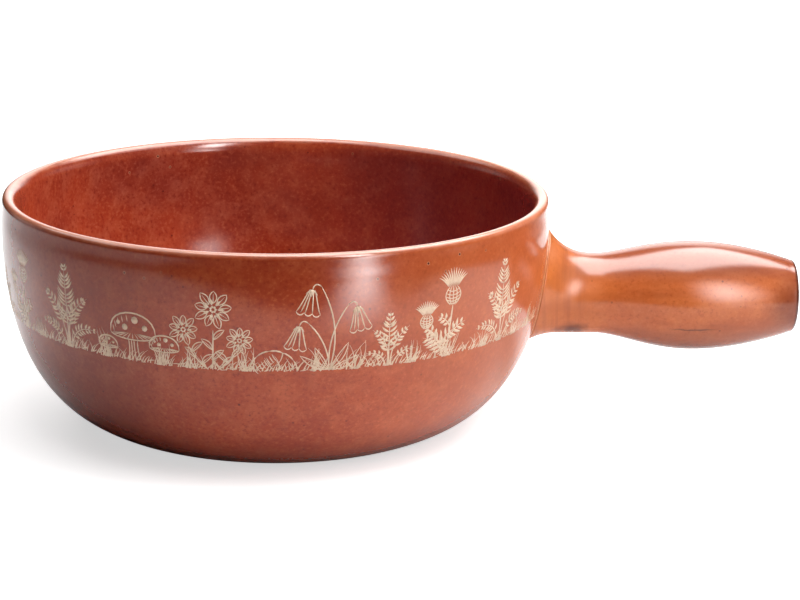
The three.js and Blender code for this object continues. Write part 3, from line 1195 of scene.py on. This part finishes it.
# %% [markdown]
# The reflected lamps were placed by tracing the photograph's highlights back from the glaze. A turned
# box overhead draws the band along the grip, a glow at the front right the spot near its end, a strip
# beyond the table's edge the streak below the lip, and a small lamp higher up the glint on the lip's far
# side. Each is an area light whose brightness fades towards its edges, as a soft box's does.

# %% Tools for lights
POT_MIDDLE = Vector((50, 0, 60)) * MM
PANEL_HEIGHT = 2 * MM


def fade_edges(light, edges):
    """Lets a light's brightness fade over a share of its width and height."""
    light.use_nodes = True
    tree = light.node_tree
    spot = add_node(tree, "NewGeometry").outputs["Parametric"]
    split = add_node(tree, "SeparateXYZ", {0: spot})
    strength = 1.0
    for axis, edge in zip("XY", edges):
        other_side = math_node("SUBTRACT", 1.0, split.outputs[axis])
        from_edge = math_node("MINIMUM", split.outputs[axis], other_side)
        strength = times(mask(from_edge, 0, edge), strength)
    tree.links.new(strength, tree.nodes["Emission"].inputs["Strength"])


def area_light(name, width, tall, brightness, *edges):
    """A light out of the camera's sight. With faded edges it shows in gloss only, else it only lights."""
    light = bpy.data.lights.new(name, "AREA")
    light.shape = "RECTANGLE"
    light.size = width
    light.size_y = tall
    light.energy = brightness * math.pi * width * tall
    if edges:
        fade_edges(light, edges)
    lamp = bpy.data.objects.new(name, light)
    lamp.visible_camera = False
    lamp.visible_diffuse = not edges
    lamp.visible_glossy = bool(edges)
    bpy.context.scene.collection.objects.link(lamp)
    return lamp


def soft_box(lamp, turn, height, distance):
    """Turns a light to face the pot from so many degrees to the right of the camera, and so many up."""
    out = Vector((
        math.sin(math.radians(turn)) * math.cos(math.radians(height)),
        -math.cos(math.radians(turn)) * math.cos(math.radians(height)),
        math.sin(math.radians(height)),
    ))
    lamp.location = POT_MIDDLE + out * distance
    lamp.rotation_euler = out.to_track_quat("Z", "Y").to_euler()


def floor_panel(lamp, x, y, turn):
    """Lays a light on the floor to shine up, as a bright patch of paper does."""
    lamp.location = Vector((x, y, PANEL_HEIGHT))
    lamp.rotation_euler = (math.pi, 0, math.radians(turn))


def keep_to(pieces, *names):
    """Lets lights shine on these pieces only."""
    for name in names:
        lit = bpy.data.collections.new(name)
        for piece in pieces:
            lit.objects.link(piece)
        bpy.data.objects[name].light_linking.receiver_collection = lit


print("tools for lights are ready")

# %% [markdown]
# The lamps themselves are rows of tables. Where one would spoil another piece it is kept to the pieces
# that need it, as flags on stands do in a real studio.

# %% Lights
# Degrees round from the camera, degrees up, distance, width and height in metres, brightness.
LAMPS = {
    "strip": (34, 22, 0.76, 0.2, 0.7, 2.0),
    "key": (60, 26, 1.1, 0.6, 0.6, 1.0),
    "key_right": (70, 38, 1.1, 0.8, 0.8, 2.0),
    "top_right": (80, 64, 1.1, 0.7, 0.7, 3.8),
    "top_front": (20, 70, 1.05, 0.8, 0.6, 2.8),
    "back_right": (125, 35, 1.1, 0.7, 0.7, 2.2),
    "overhead": (180, 77, 1.05, 2.2, 1.26, 0.55),
    "back_wash": (180, 34, 2.2, 3.0, 1.0, 3.8),
}
# The same, with the shares of the width and the height over which the light fades.
REFLECTIONS = {
    "top_band": (180, 76, 1.0, 2.6, 1.6, 3.0, 0.1, 0.25),
    "strip_glow": (34, 12, 0.74, 0.34, 0.72, 7.0, 0.5, 0.5),
    "lip_glint": (32, 42, 0.9, 0.26, 0.6, 24.0, 0.35, 0.3),
    "streak_card": (33, 3, 1.0, 0.25, 0.24, 12.0, 0.5, 0.3),
    "grip_glow": (33, 17, 0.74, 0.5, 0.9, 11.5, 0.5, 0.5),
    "left_card": (-115, 8, 1.0, 0.9, 0.7, 0.65, 0.5, 0.5),
    "right_card": (115, 12, 1.2, 1.2, 0.8, 0.7, 0.5, 0.5),
    "backdrop": (176, 19, 2.0, 2.2, 1.6, 2.6, 0.4, 0.3),
}
# X, Y and turn on the floor, then width, height, brightness and the two shares as above.
FLOOR_REFLECTIONS = {
    "streak_near": (0.255, -0.408, 38, 0.17, 0.54, 11.5, 0.5, 0.4),
    "streak_far": (0.615, -0.89, 38, 0.36, 1.05, 14.0, 0.5, 0.2),
    "floor_left": (-0.26, 0.12, 20, 0.34, 0.5, 0.6, 0.5, 0.5),
    "floor_back": (0.2, 0.6, 0, 1.4, 0.8, 0.9, 0.3, 0.3),
    "floor_right": (0.36, -0.34, 20, 0.32, 0.38, 5.0, 0.5, 0.5),
}
TOP_BOX_SIZE = (1.5, 0.96)
TOP_BOX_EDGES = (0.12, 0.15)
TOP_BOX_PLACE = (0.36, 0.29, 1.05)
TOP_BOX_TURN = math.radians(50)
TOP_BOXES = {"top_box_on_grip": 10.0, "top_box_on_bowl": 7.0}

for name, (turn, height, distance, *light) in (LAMPS | REFLECTIONS).items():
    soft_box(area_light(name, *light), turn, height, distance)
for name, (x, y, turn, *light) in FLOOR_REFLECTIONS.items():
    floor_panel(area_light(name, *light), x, y, turn)
for name, brightness in TOP_BOXES.items():
    lamp = area_light(name, *TOP_BOX_SIZE, brightness, *TOP_BOX_EDGES)
    lamp.location = TOP_BOX_PLACE
    lamp.rotation_euler.z = TOP_BOX_TURN
keep_to((bowl, plants, ground), "streak_near", "streak_far", "top_band", "strip_glow", "floor_back")
keep_to((bowl, plants, ground), "lip_glint", "streak_card", "top_box_on_bowl")
keep_to((handle,), "grip_glow", "floor_right")
keep_to((handle, seam), "top_box_on_grip")
